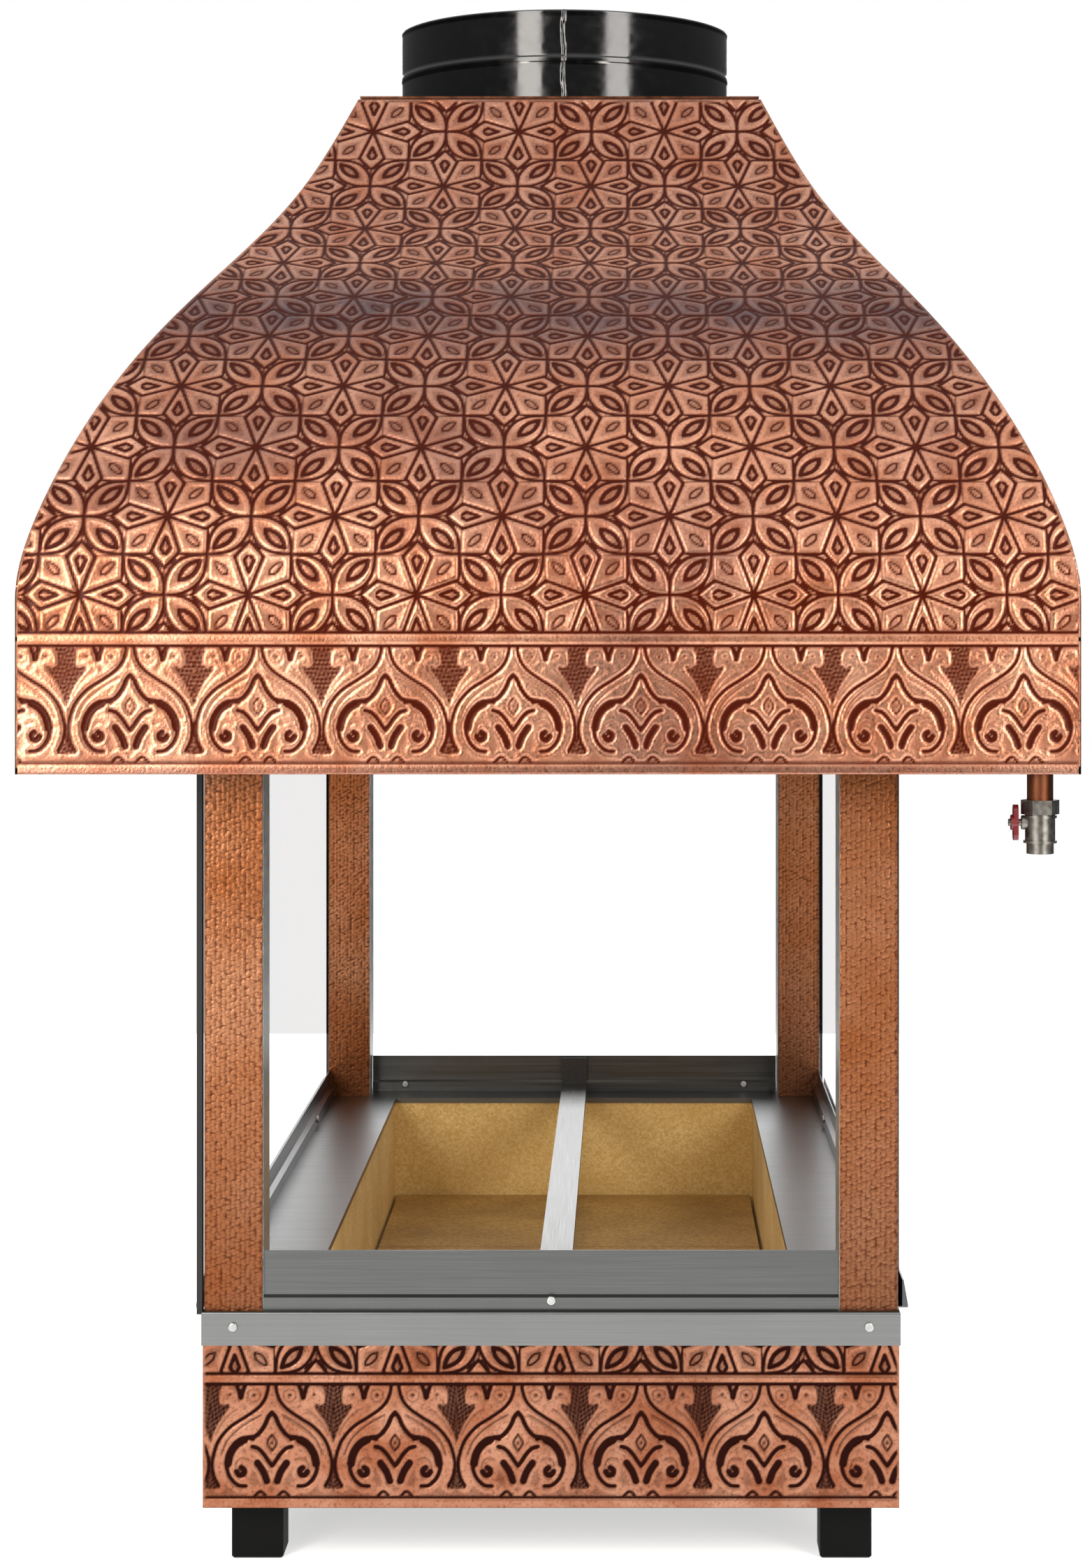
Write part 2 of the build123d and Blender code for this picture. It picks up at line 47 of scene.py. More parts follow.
def hexColour(code):
    # sRGB hex to the linear colour that shaders use
    channels = [int(code[i:i + 2], 16) / 255 for i in (1, 3, 5)]
    linear = [c / 12.92 if c <= 0.04045 else ((c + 0.055) / 1.055) ** 2.4 for c in channels]
    return (*linear, 1.0)


def addNode(tree, kind, settings, inputs):
    # inputs hold a value or another node's output. A colour Mix has its amount at 0 and its colours at 6 and 7.
    node = tree.nodes.new(kind)
    for name, value in settings.items():
        setattr(node, name, value)
    for socket, value in inputs.items():
        if isinstance(value, bpy.types.NodeSocket):
            tree.links.new(value, node.inputs[socket])
        else:
            node.inputs[socket].default_value = value
    return node


def newMaterial(name):
    material = bpy.data.materials.new(name)
    material.use_nodes = True
    tree = material.node_tree
    shader = tree.nodes["Principled BSDF"]
    place = tree.nodes.new("ShaderNodeTexCoord").outputs["Object"]
    return material, tree, shader, place


def boxMm(node):
    low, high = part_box(node)
    return np.array(low) / mm, np.array(high) / mm


def gridQuads(rows, columns):
    index = np.arange(rows * columns).reshape(rows, columns)
    return np.stack([index[:-1, :-1], index[:-1, 1:], index[1:, 1:], index[1:, :-1]], axis=-1).reshape(-1, 4)


def makeObject(name, points, quads, material, attributes):
    # points in mm; attributes are one number for each point
    mesh = bpy.data.meshes.new(name)
    mesh.vertices.add(len(points))
    mesh.vertices.foreach_set("co", (np.asarray(points, float) * mm).ravel())
    mesh.loops.add(quads.size)
    mesh.loops.foreach_set("vertex_index", quads.ravel())
    mesh.polygons.add(len(quads))
    mesh.polygons.foreach_set("loop_start", np.arange(0, quads.size, 4))
    mesh.update(calc_edges=True)
    mesh.polygons.foreach_set("use_smooth", np.ones(len(quads), bool))
    for attribute, values in attributes.items():
        layer = mesh.attributes.new(attribute, "FLOAT", "POINT")
        layer.data.foreach_set("value", np.asarray(values, np.float32).ravel())
    mesh.materials.append(material)
    piece = bpy.data.objects.new(name, mesh)
    bpy.context.scene.collection.objects.link(piece)
    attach(piece, "grill")
    return piece


# places and sizes in metres, power in watts
camera = {"lens": 73.2, "sensor": 36, "place": (0.067, -3.346, 0.8523), "shiftX": -0.0528, "shiftY": -0.1324}
softboxes = {
    # place, size, power, tint
    "leftStrip": ((-1.25, -3.0, 1.7), (0.9, 2.6), 50, "#FFFBF5"),    # white bands on the collar
    "rightStrip": ((1.95, -2.6, 1.7), (0.9, 2.6), 44, "#FFFBF7"),
    "leftPanel": ((-0.86, -1.75, 0.80), (0.2, 0.55), 4, "#FFF6EA"),   # bright ends of the skirt
    "rightPanel": ((0.90, -1.75, 0.85), (0.2, 0.55), 4, "#FFF8F0"),
    "underHood": ((0.0, 0.05, 1.2), (0.3, 0.6), 3.2, "#FFF4E2"),      # warms the fire pit from above
    "rearPanel": ((0.0, 3.6, 1.6), (2.6, 1.6), 40, "#FFFFFF"),
}
room = {
    "aim": (0, 0, 0.75), "floorReach": 2.6, "floorDrop": 0.0005, "floorGlow": 0.55,
    "wallFrom": 0.1, "wallTo": 0.85, "dimmest": 0.04, "brightest": 1.15,    # grey low down to bright overhead
}


def makeCamera():
    lens = bpy.data.cameras.new("camera")
    lens.lens = camera["lens"]
    lens.sensor_width = camera["sensor"]
    lens.shift_x = camera["shiftX"]
    lens.shift_y = camera["shiftY"]
    viewer = bpy.data.objects.new("camera", lens)
    viewer.location = camera["place"]
    viewer.rotation_euler = (math.radians(90), 0, 0)
    bpy.context.scene.collection.objects.link(viewer)
    bpy.context.scene.camera = viewer


def makeLights():
    for name, (place, size, watts, tint) in softboxes.items():
        light = bpy.data.lights.new(name, "AREA")
        light.shape = "RECTANGLE"
        light.size, light.size_y = size
        light.energy = watts
        light.color = hexColour(tint)[:3]
        lamp = bpy.data.objects.new(name, light)
        lamp.location = place
        lamp.rotation_euler = (Vector(room["aim"]) - Vector(place)).to_track_quat("-Z", "Y").to_euler()
        lamp.visible_camera = False
        bpy.context.scene.collection.objects.link(lamp)


def makeFloor():
    # matt white paper, lit a little from under, so that the eye finds only the object and a faint shadow
    floorMaterial, tree, shader, place = newMaterial("palePaperSweep")
    fibre = addNode(tree, "ShaderNodeTexNoise", {}, {"Vector": place, "Scale": 3.0}).outputs["Fac"]
    tone = addNode(tree, "ShaderNodeMix", {"data_type": "RGBA"}, {
        0: fibre, 6: hexColour("#F6F6F5"), 7: hexColour("#FBFBFA")}).outputs[2]
    tree.links.new(tone, shader.inputs["Base Color"])
    shader.inputs["Roughness"].default_value = 0.9
    shader.inputs["Emission Color"].default_value = (1, 1, 1, 1)
    shader.inputs["Emission Strength"].default_value = room["floorGlow"]
    reach = room["floorReach"]
    mesh = bpy.data.meshes.new("floor")
    mesh.from_pydata([(-reach, -reach, 0), (reach, -reach, 0), (reach, reach, 0), (-reach, reach, 0)], [],
                     [(0, 1, 2, 3)])
    mesh.materials.append(floorMaterial)
    floor = bpy.data.objects.new("floor", mesh)
    floor.location.z = -room["floorDrop"]
    bpy.context.scene.collection.objects.link(floor)


def makeWorld():
    # the metal sees a dim room that brightens overhead, and the viewer sees white
    world = bpy.data.worlds.new("studio")
    bpy.context.scene.world = world
    world.use_nodes = True
    tree = world.node_tree
    tree.nodes.clear()
    direction = tree.nodes.new("ShaderNodeTexCoord").outputs["Generated"]
    height = addNode(tree, "ShaderNodeSeparateXYZ", {}, {0: direction}).outputs["Z"]
    wall = addNode(tree, "ShaderNodeMapRange", {}, {
        "Value": height, "From Min": room["wallFrom"], "From Max": room["wallTo"],
        "To Min": room["dimmest"], "To Max": room["brightest"]}).outputs["Result"]
    around = addNode(tree, "ShaderNodeBackground", {}, {"Color": (1, 1, 1, 1), "Strength": wall}).outputs[0]
    backdrop = addNode(tree, "ShaderNodeBackground", {}, {"Color": (1, 1, 1, 1), "Strength": 1.0}).outputs[0]
    seen = tree.nodes.new("ShaderNodeLightPath").outputs["Is Camera Ray"]
    both = addNode(tree, "ShaderNodeMixShader", {}, {0: seen, 1: around, 2: backdrop}).outputs[0]
    addNode(tree, "ShaderNodeOutputWorld", {}, {"Surface": both})
    bpy.context.scene.view_settings.view_transform = "Standard"


makeCamera()
makeLights()
makeFloor()
makeWorld()
print("stage ready")


def makePressedCopper(name, values):
    material, tree, shader, place = newMaterial(name)
    grooveAndShade = addNode(tree, "ShaderNodeAttribute", {"attribute_name": "grooveAndShade"}, {}).outputs["Fac"]
    tarnishAndShade = addNode(tree, "ShaderNodeAttribute", {"attribute_name": "tarnishAndShade"}, {}).outputs["Fac"]
    cloud = addNode(tree, "ShaderNodeTexNoise", {}, {
        "Vector": place, "Scale": 1 / (values["cloudSize"] * mm), "Detail": 5.0, "Roughness": 0.6}).outputs["Fac"]
    speck = addNode(tree, "ShaderNodeTexNoise", {}, {
        "Vector": place, "Scale": 1 / (values["speckSize"] * mm), "Detail": 3.0}).outputs["Fac"]
    smoke = addNode(tree, "ShaderNodeTexNoise", {}, {
        "Vector": place, "Scale": 1 / (values["smokeSize"] * mm), "Detail": 3.0}).outputs["Fac"]
    # clean metal, from dull to bright, with fine dark specks
    cloudy = addNode(tree, "ShaderNodeMapRange", {}, {
        "Value": cloud, "From Min": 0.35, "From Max": 0.65}).outputs["Result"]
    sheet = addNode(tree, "ShaderNodeMix", {"data_type": "RGBA"}, {
        0: cloudy, 6: hexColour(values["field"]), 7: hexColour(values["crest"])}).outputs[2]
    speckled = addNode(tree, "ShaderNodeMapRange", {}, {
        "Value": speck, "From Min": 0.52, "From Max": 0.72, "To Max": 0.55}).outputs["Result"]
    sheet = addNode(tree, "ShaderNodeMix", {"data_type": "RGBA"}, {
        0: speckled, 6: sheet, 7: hexColour(values["speck"])}).outputs[2]
    # tarnish and painted shade where the mesh marks them, and smoke stains anywhere
    broken = addNode(tree, "ShaderNodeMapRange", {}, {
        "Value": cloud, "From Min": 0.3, "From Max": 0.6, "To Min": 0.55}).outputs["Result"]
    darkening = addNode(tree, "ShaderNodeMath", {"operation": "MULTIPLY"}, {0: tarnishAndShade, 1: broken}).outputs[0]
    smoked = addNode(tree, "ShaderNodeMapRange", {}, {
        "Value": smoke, "From Min": 0.5, "From Max": 0.75, "To Max": values["smoke"]}).outputs["Result"]
    darkening = addNode(tree, "ShaderNodeMath", {"operation": "MAXIMUM"}, {0: darkening, 1: smoked}).outputs[0]
    sheet = addNode(tree, "ShaderNodeMix", {"data_type": "RGBA"}, {
        0: darkening, 6: sheet, 7: hexColour(values["tarnishAndShade"])}).outputs[2]
    # patina in the pressed lines, dark and matt; the same dark colour is painted shade on the folded edges and in
    # the net between hammered bosses
    shade = addNode(tree, "ShaderNodeMapRange", {}, {
        "Value": grooveAndShade, "From Min": 0.12, "From Max": 0.8}).outputs["Result"]
    colour = addNode(tree, "ShaderNodeMix", {"data_type": "RGBA"}, {
        0: shade, 6: sheet, 7: hexColour(values["grooveAndShade"])}).outputs[2]
    tree.links.new(colour, shader.inputs["Base Color"])
    worn = addNode(tree, "ShaderNodeMapRange", {}, {
        "Value": speck, "From Min": 0.3, "From Max": 0.7,
        "To Min": values["roughness"] - 0.05, "To Max": values["roughness"] + 0.1}).outputs["Result"]
    matt = addNode(tree, "ShaderNodeMapRange", {}, {
        "Value": grooveAndShade, "From Min": 0.1, "From Max": 0.9, "To Max": 0.3}).outputs["Result"]
    rough = addNode(tree, "ShaderNodeMath", {"operation": "ADD"}, {0: worn, 1: matt}).outputs[0]
    tree.links.new(rough, shader.inputs["Roughness"])
    bump = addNode(tree, "ShaderNodeBump", {}, {
        "Height": speck, "Strength": 0.5, "Distance": 0.6 * mm}).outputs["Normal"]
    tree.links.new(bump, shader.inputs["Normal"])
    shader.inputs["Metallic"].default_value = 1.0
    shader.inputs["Coat Weight"].default_value = values["lacquer"]
    shader.inputs["Coat Roughness"].default_value = 0.25
    return material


def makePlainFinish(name, values):
    # grain is the size in mm of its noise along X, Y and Z: drawn out along one of them, it reads as brushing
    material, tree, shader, place = newMaterial(name)
    cloudsPerMetre = 14.0    # blotches of about 70 mm
    grooveDepth = 0.1 * mm
    stretch = addNode(tree, "ShaderNodeMapping", {}, {
        "Vector": place, "Scale": tuple(1 / (size * mm) for size in values["grain"])}).outputs["Vector"]
    grain = addNode(tree, "ShaderNodeTexNoise", {}, {"Vector": stretch, "Scale": 1.0, "Detail": 3.0}).outputs["Fac"]
    cloud = addNode(tree, "ShaderNodeTexNoise", {}, {
        "Vector": place, "Scale": cloudsPerMetre, "Detail": 3.0}).outputs["Fac"]
    streak = addNode(tree, "ShaderNodeMapRange", {}, {
        "Value": grain, "From Min": 0.3, "From Max": 0.7}).outputs["Result"]
    colour = addNode(tree, "ShaderNodeMix", {"data_type": "RGBA"}, {
        0: streak, 6: hexColour(values["dark"]), 7: hexColour(values["light"])}).outputs[2]
    blotch = addNode(tree, "ShaderNodeMapRange", {}, {
        "Value": cloud, "From Min": 0.4, "From Max": 0.75, "To Max": 0.35}).outputs["Result"]
    colour = addNode(tree, "ShaderNodeMix", {"data_type": "RGBA"}, {
        0: blotch, 6: colour, 7: hexColour(values["dark"])}).outputs[2]
    if "top" in values:
        # faces that lie flat get the darker top colour: a painted reflection of the dark hood above
        facing = tree.nodes.new("ShaderNodeNewGeometry").outputs["Normal"]
        upward = addNode(tree, "ShaderNodeSeparateXYZ", {}, {0: facing}).outputs["Z"]
        flat = addNode(tree, "ShaderNodeMapRange", {}, {
            "Value": upward, "From Min": 0.5, "From Max": 0.9}).outputs["Result"]
        colour = addNode(tree, "ShaderNodeMix", {"data_type": "RGBA"}, {
            0: flat, 6: colour, 7: hexColour(values["top"])}).outputs[2]
    tree.links.new(colour, shader.inputs["Base Color"])
    rough = addNode(tree, "ShaderNodeMapRange", {}, {
        "Value": grain, "From Min": 0.3, "From Max": 0.7,
        "To Min": values["roughness"] - 0.04, "To Max": values["roughness"] + 0.06}).outputs["Result"]
    tree.links.new(rough, shader.inputs["Roughness"])
    bump = addNode(tree, "ShaderNodeBump", {}, {
        "Height": grain, "Strength": values["bump"], "Distance": grooveDepth}).outputs["Normal"]
    tree.links.new(bump, shader.inputs["Normal"])
    shader.inputs["Metallic"].default_value = values["metallic"]
    shader.inputs["Specular IOR Level"].default_value = values.get("specular", 0.5)
    if "coat" in values:
        shader.inputs["Coat Weight"].default_value = values["coat"]
        shader.inputs["Coat Roughness"].default_value = 0.05
    return material


def makeBoard(name, values):
    material, tree, shader, place = newMaterial(name)
    cloudsPerMetre = 9.0    # stains of about 110 mm
    flake = addNode(tree, "ShaderNodeTexVoronoi", {}, {"Vector": place, "Scale": 1 / (values["flake"] * mm)})
    cloud = addNode(tree, "ShaderNodeTexNoise", {}, {
        "Vector": place, "Scale": cloudsPerMetre, "Detail": 5.0}).outputs["Fac"]
    tone = addNode(tree, "ShaderNodeSeparateColor", {}, {0: flake.outputs["Color"]}).outputs[0]
    colour = addNode(tree, "ShaderNodeMix", {"data_type": "RGBA"}, {
        0: tone, 6: hexColour(values["dark"]), 7: hexColour(values["light"])}).outputs[2]
    stained = addNode(tree, "ShaderNodeMapRange", {}, {
        "Value": cloud, "From Min": 0.35, "From Max": 0.7, "To Max": 0.6}).outputs["Result"]
    colour = addNode(tree, "ShaderNodeMix", {"data_type": "RGBA"}, {
        0: stained, 6: colour, 7: hexColour(values["stain"])}).outputs[2]
    tree.links.new(colour, shader.inputs["Base Color"])
    shader.inputs["Roughness"].default_value = 0.85
    bump = addNode(tree, "ShaderNodeBump", {}, {
        "Height": flake.outputs["Distance"], "Strength": 0.3, "Distance": 0.5 * mm}).outputs["Normal"]
    tree.links.new(bump, shader.inputs["Normal"])
    return material


def makeGlass(name, values):
    material, tree, shader, place = newMaterial(name)
    smear = addNode(tree, "ShaderNodeTexNoise", {}, {
        "Vector": place, "Scale": values["smearsPerMetre"], "Detail": 4.0}).outputs["Fac"]
    colour = addNode(tree, "ShaderNodeMix", {"data_type": "RGBA"}, {
        0: smear, 6: hexColour(values["clear"]), 7: hexColour(values["smeared"])}).outputs[2]
    tree.links.new(colour, shader.inputs["Base Color"])
    rough = addNode(tree, "ShaderNodeMapRange", {}, {
        "Value": smear, "From Min": 0.4, "From Max": 0.8, "To Max": 0.04}).outputs["Result"]
    tree.links.new(rough, shader.inputs["Roughness"])
    shader.inputs["Transmission Weight"].default_value = 1.0
    shader.inputs["IOR"].default_value = values["index"]
    shader.inputs["Alpha"].default_value = values["alpha"]
    return material


# aged sheet copper, pressed and rubbed: dark drawing on warm, softly shining metal with smoky stains
hoodCopper = makePressedCopper("pressedCopperHood", {
    "crest": "#E8AA8A", "field": "#C07A59", "speck": "#84452B", "grooveAndShade": "#4A1708", "tarnishAndShade": "#513F45",
    "cloudSize": 45, "speckSize": 2.6, "roughness": 0.32, "lacquer": 0.14, "smokeSize": 260, "smoke": 0.75})
# painted shade: the same sheet low down, painted browner and darker as if out of the light, with nearly black lines
baseCopper = makePressedCopper("pressedCopperBase", {
    "crest": "#B8846A", "field": "#94583C", "speck": "#632C16", "grooveAndShade": "#260601", "tarnishAndShade": "#4A2A20",
    "cloudSize": 45, "speckSize": 2.6, "roughness": 0.34, "lacquer": 0.08, "smokeSize": 200, "smoke": 0.3})
# hand-hammered copper: small bosses that read as highlights against a brown net of painted shade
hammeredCopper = makePressedCopper("hammeredCopper", {
    "crest": "#B27D5C", "field": "#985B34", "speck": "#7B4224", "grooveAndShade": "#4A200E", "tarnishAndShade": "#4A2410",
    "cloudSize": 160, "speckSize": 2.2, "roughness": 0.36, "lacquer": 0.1, "smokeSize": 200, "smoke": 0.3})
# stainless brushed along X: long fine streaks and a soft grey glow
stainless = makePlainFinish("brushedStainless", {
    "dark": "#5C5D5D", "light": "#696B6B", "grain": (120, 0.8, 0.8), "roughness": 0.32, "metallic": 1.0,
    "bump": 0.1})
# the same, brushed along Y on the parts that run away from the viewer
stainlessSide = makePlainFinish("brushedStainlessLengthwise", {
    "dark": "#56575A", "light": "#636567", "grain": (0.8, 120, 0.8), "roughness": 0.32, "metallic": 1.0,
    "bump": 0.1})
# satin stainless: pale edges round a darker top, which is a painted reflection of the dark hood above
hearthSteel = makePlainFinish("satinStainlessSheet", {
    "dark": "#747676", "light": "#808282", "grain": (120, 0.8, 0.8), "roughness": 0.34, "metallic": 1.0,
    "bump": 0.08, "top": "#515353"})
# worn bright stainless: the lightest metal, since it catches the whole rear panel
barSteel = makePlainFinish("brightStainlessBar", {
    "dark": "#565656", "light": "#616161", "grain": (0.8, 120, 0.8), "roughness": 0.3, "metallic": 1.0,
    "bump": 0.08})
# zinc plating: small clean glints on the fixings
zincSteel = makePlainFinish("zincPlatedSteel", {
    "dark": "#A2A4A3", "light": "#C6C8C7", "grain": (6, 6, 6), "roughness": 0.38, "metallic": 1.0, "bump": 0.1})
# mill scale: nearly black, blotched and dull; darkened further as painted shade, so that what is inside stays in
# shadow
darkSteel = makePlainFinish("millScaleSteel", {
    "dark": "#26221F", "light": "#3D3733", "grain": (9, 9, 9), "roughness": 0.55, "metallic": 0.7, "bump": 0.3})
# glossy black enamel: black between hard white bands of light
blackEnamel = makePlainFinish("glossBlackEnamel", {
    "dark": "#010101", "light": "#030303", "grain": (12, 12, 12), "roughness": 0.12, "metallic": 0.0,
    "bump": 0.05, "specular": 0.95})
# satin black paint over rough steel: an even black with hardly a shine
blackFeet = makePlainFinish("satinBlackPaint", {
    "dark": "#020202", "light": "#050505", "grain": (3, 3, 3), "roughness": 0.6, "metallic": 0.0, "bump": 0.25,
    "specular": 0.12})
# plain copper left to age: brown, streaked downwards
copperPipe = makePlainFinish("agedCopperPipe", {
    "dark": "#4E2A1B", "light": "#7C4A30", "grain": (8, 8, 30), "roughness": 0.38, "metallic": 0.9,
    "bump": 0.15})
# nickel on cast brass: warm grey with a blurred shine
nickel = makePlainFinish("nickelPlatedBrass", {
    "dark": "#6E6B66", "light": "#8E8B85", "grain": (5, 5, 5), "roughness": 0.34, "metallic": 1.0, "bump": 0.1})
# dipped vinyl: dark red with a thin wet gloss
redGrip = makePlainFinish("redDippedVinyl", {
    "dark": "#5C0C10", "light": "#701014", "grain": (7, 7, 7), "roughness": 0.35, "metallic": 0.0, "bump": 0.1,
    "coat": 0.3})
# black rubber: a matt line along the panes
sealRubber = makePlainFinish("sealRubber", {
    "dark": "#0C0C0D", "light": "#191A1B", "grain": (4, 4, 20), "roughness": 0.7, "metallic": 0.0, "bump": 0.2})
# white plastic: clean and slightly waxy
seatPlastic = makePlainFinish("whiteSeatPlastic", {
    "dark": "#D9D8D2", "light": "#ECEBE6", "grain": (5, 5, 5), "roughness": 0.4, "metallic": 0.0, "bump": 0.05})
# pressed vermiculite: dry straw yellow, with golden flakes and a pitted face
fireBoard = makeBoard("vermiculiteBoard", {
    "light": "#EACE8C", "dark": "#D2AC63", "stain": "#BD934B", "flake": 2.5})
# the same, fired and stained by ash: browner and coarser
fireFloor = makeBoard("firedFloorTile", {
    "light": "#B8914C", "dark": "#937034", "stain": "#735120", "flake": 3.0})
# tempered glass: almost unseen face on, pale grey where it lies at a slant
temperedGlass = makeGlass("temperedGlass", {
    "clear": "#F4F7F6", "smeared": "#E6ECEA", "smearsPerMetre": 6.0, "index": 1.45, "alpha": 0.09})
print("materials ready")


# in mm
ornament = {
    "cell": 70.0,         # lattice square
    "archWidth": 106.0,   # one arch of the band
    "bandHeight": 97.0,
    "lineWidth": 1.55,    # half width of the drawn lines
    "archLine": 1.35,     # the arches' lines, as a share of that
    "border": 4.3,        # raised border inside each shape
    "borderSlope": 3.0,
    "solidBelow": 2.4,    # slivers of metal narrower than this are pressed flat
    "fieldDepth": 0.36,   # what lies inside the border, as a share of the full depth
    "raster": 0.5,        # step at which the two cells and the arch are worked out
    "edgeFade": 3.0,      # the relief dies out towards the sheet's edges
    "fold": 2.0,          # how far the sheet's edges turn inwards
    "foldShade": 0.6,     # and how dark they are painted: painted shade
}
# where the ornament lies on a sheet, up from its lower edge and along X or Y
hoodBand = {
    "archShift": -347.0, "latticeShift": 31.0, "firstRow": 149.0, "lower": 9.5, "upper": 106.6,
    "latticeFrom": 117.5, "rail": 117.8, "railWidth": 1.6, "trimWidth": 1.2, "sink": 1.5,
}
baseBand = {
    "archShift": -28.4, "latticeShift": 7.5, "firstRow": 150.4, "lower": 9.0, "upper": 106.5,
    "latticeFrom": 115.5, "rail": 115.5, "railWidth": 1.5, "trimWidth": 1.2,
    "sink": 1.05,    # less than this sheet's thickness of 1.2, so that the frame stays covered
}


def smoothLine(points, steps=8):
    # a rounded line through the points
    ends = [points[0], *points, points[-1]]
    line = []
    for a, b, c, d in zip(ends, ends[1:], ends[2:], ends[3:]):
        a, b, c, d = (np.array(p, float) for p in (a, b, c, d))
        for t in np.linspace(0, 1, steps, endpoint=False):
            line.append(0.5 * (2 * b + (c - a) * t + (2 * a - 5 * b + 4 * c - d) * t ** 2
                               + (3 * b - a - 3 * c + d) * t ** 3))
    line.append(np.array(points[-1], float))
    return line


def lineDistance(x, y, line):
    nearest = np.full(x.shape, 1e3)
    for (ax, ay), (bx, by) in zip(line, line[1:]):
        dx, dy = bx - ax, by - ay
        length = dx * dx + dy * dy
        if length == 0:
            continue
        t = np.clip(((x - ax) * dx + (y - ay) * dy) / length, 0, 1)
        nearest = np.minimum(nearest, np.hypot(x - ax - t * dx, y - ay - t * dy))
    return nearest


def insideOutline(x, y, outline):
    # even-odd test
    inside = np.zeros(x.shape, bool)
    for (ax, ay), (bx, by) in zip(outline, outline[1:] + outline[:1]):
        if ay == by:
            continue
        crosses = ((ay > y) != (by > y)) & (x < (bx - ax) * (y - ay) / (by - ay) + ax)
        inside ^= crosses
    return inside


def cut(distance, width, soften=1.3):
    # how deep a line of this half width is at each distance from its middle, 0 to 1
    t = np.clip((width + soften - distance) / (2 * soften), 0, 1)
    return t * t * (3 - 2 * t)


def sunkField(distance):
    # shapes have a bright border beside each line, and a slightly sunk middle
    t = np.clip((distance - ornament["border"]) / ornament["borderSlope"], 0, 1)
    return ornament["fieldDepth"] * t * t * (3 - 2 * t)


def latticeCell(flower):
    # one square of the lattice: stars and four-petalled flowers by turns
    half = ornament["cell"] / 2
    axis = np.arange(-half, half, ornament["raster"])
    x, y = np.meshgrid(axis, axis)
    across, up = np.abs(x), np.abs(y)
    far, near = np.maximum(across, up), np.minimum(across, up)
    w = ornament["lineWidth"]
    kiteWide, tip = (33.0, 12.0), 47.0    # widest point and tip of the kites between the petals
    if flower:
        petal = lineDistance(far, near, smoothLine([(0, 0), (14, 1.2), (26.5, 8.2), (33, 19), (half, half)]))
        tips = lineDistance(far, near, [(2 * half - tip, 0), (2 * half - kiteWide[0], kiteWide[1]), (half + 4, 13)])
        cross = lineDistance(far, near, [(0, 0), (2 * half - tip, 0)])
        leaf = lineDistance(far, near, smoothLine([
            (12.5, 12.5), (18.5, 14), (23.5, 17.2), (27.2, 22.4), (29.5, 29.5)]))
        core = lineDistance(far, near, [(20, 20), (25.5, 25.5)])
        lines = np.minimum(petal, tips)
        depth = np.maximum(cut(lines, w), sunkField(lines))
        sliver = np.maximum(petal, tips) < ornament["solidBelow"]
        depth = np.maximum(depth, np.where(sliver, 1.0, 0.0))
        depth = np.maximum(depth, 0.8 * cut(cross, w * 0.6))
        depth = np.maximum(depth, cut(leaf, w * 1.35))
        depth = np.minimum(depth, 1 - 0.5 * cut(core, 0.9))
    else:
        kite = lineDistance(far, near, [(0, 0), kiteWide, (half, 9.8)])
        edge = lineDistance(far, near, [(half, 13), (half, half)])
        jewel = lineDistance(far, near, [(19, 0), (29.5, 4.0), (36, 0)])
        leaf = lineDistance(far, near, smoothLine([(17, 17), (22.5, 18.5), (27, 24), (27.5, 27.5)]))
        lines = np.minimum(kite, edge)
        depth = np.maximum(cut(lines, w), sunkField(lines))
        innerLine = np.abs(lines - 5.4)    # a second, finer outline inside the first
        depth = np.maximum(depth, 0.55 * cut(innerLine, 0.1, 0.9))
        depth = np.maximum(depth, cut(jewel, w * 1.1))
        depth = np.maximum(depth, 0.9 * cut(leaf, w * 0.8))
    return depth


